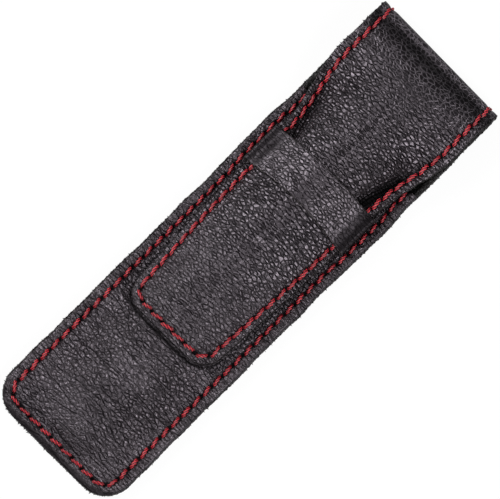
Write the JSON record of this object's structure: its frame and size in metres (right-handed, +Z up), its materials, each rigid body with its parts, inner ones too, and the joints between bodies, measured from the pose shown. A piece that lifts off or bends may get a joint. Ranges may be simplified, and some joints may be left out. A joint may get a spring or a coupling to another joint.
{
  "type": "single pen sleeve",
  "caption": "Slim leather sleeve for one pen: domed sewn pocket, long fold-over flap whose tongue tucks under a keeper strap, contrast stitching round the edges.",
  "frame": {"origin": "on the table under the middle of the closed sleeve's box", "axes": "+X along the sleeve towards the fold, +Y across it, +Z up from the back to the front"},
  "size_m": [0.16, 0.047, 0.0161],
  "materials": {
    "outer_leather": "black pebbled full-grain leather, satin",
    "front_leather": "black full-grain leather with a larger, creased grain, satin",
    "strap_leather": "black leather, pressed smoother towards its ends",
    "lining_leather": "thin black lining leather, matte",
    "thread": "twisted red sewing thread, waxed"
  },
  "bodies": {
    "sleeve": {"back_panel": "outer_leather", "back_lining": "lining_leather", "front_panel": "front_leather", "keeper_strap": "strap_leather", "fold_outer": "outer_leather", "fold_lining": "lining_leather", "pocket_seam_thread": "thread", "back_seam_thread": "thread", "fold_seam_thread": "thread", "fold_lining_thread": "thread"},
    "flap": {"flap_outer": "outer_leather", "flap_lining": "lining_leather", "flap_seam_thread": "thread", "flap_lining_thread": "thread"}
  },
  "joints": [
    {"name": "flap_fold", "type": "hinge", "parent": "sleeve", "child": "flap", "pos_m": [0.0755, 0, 0.0045], "axis": [0, 1, 0], "range_deg": [0, 155], "deforming": ["fold_outer", "fold_lining", "fold_seam_thread", "fold_lining_thread", "keeper_strap"]}
  ]
}
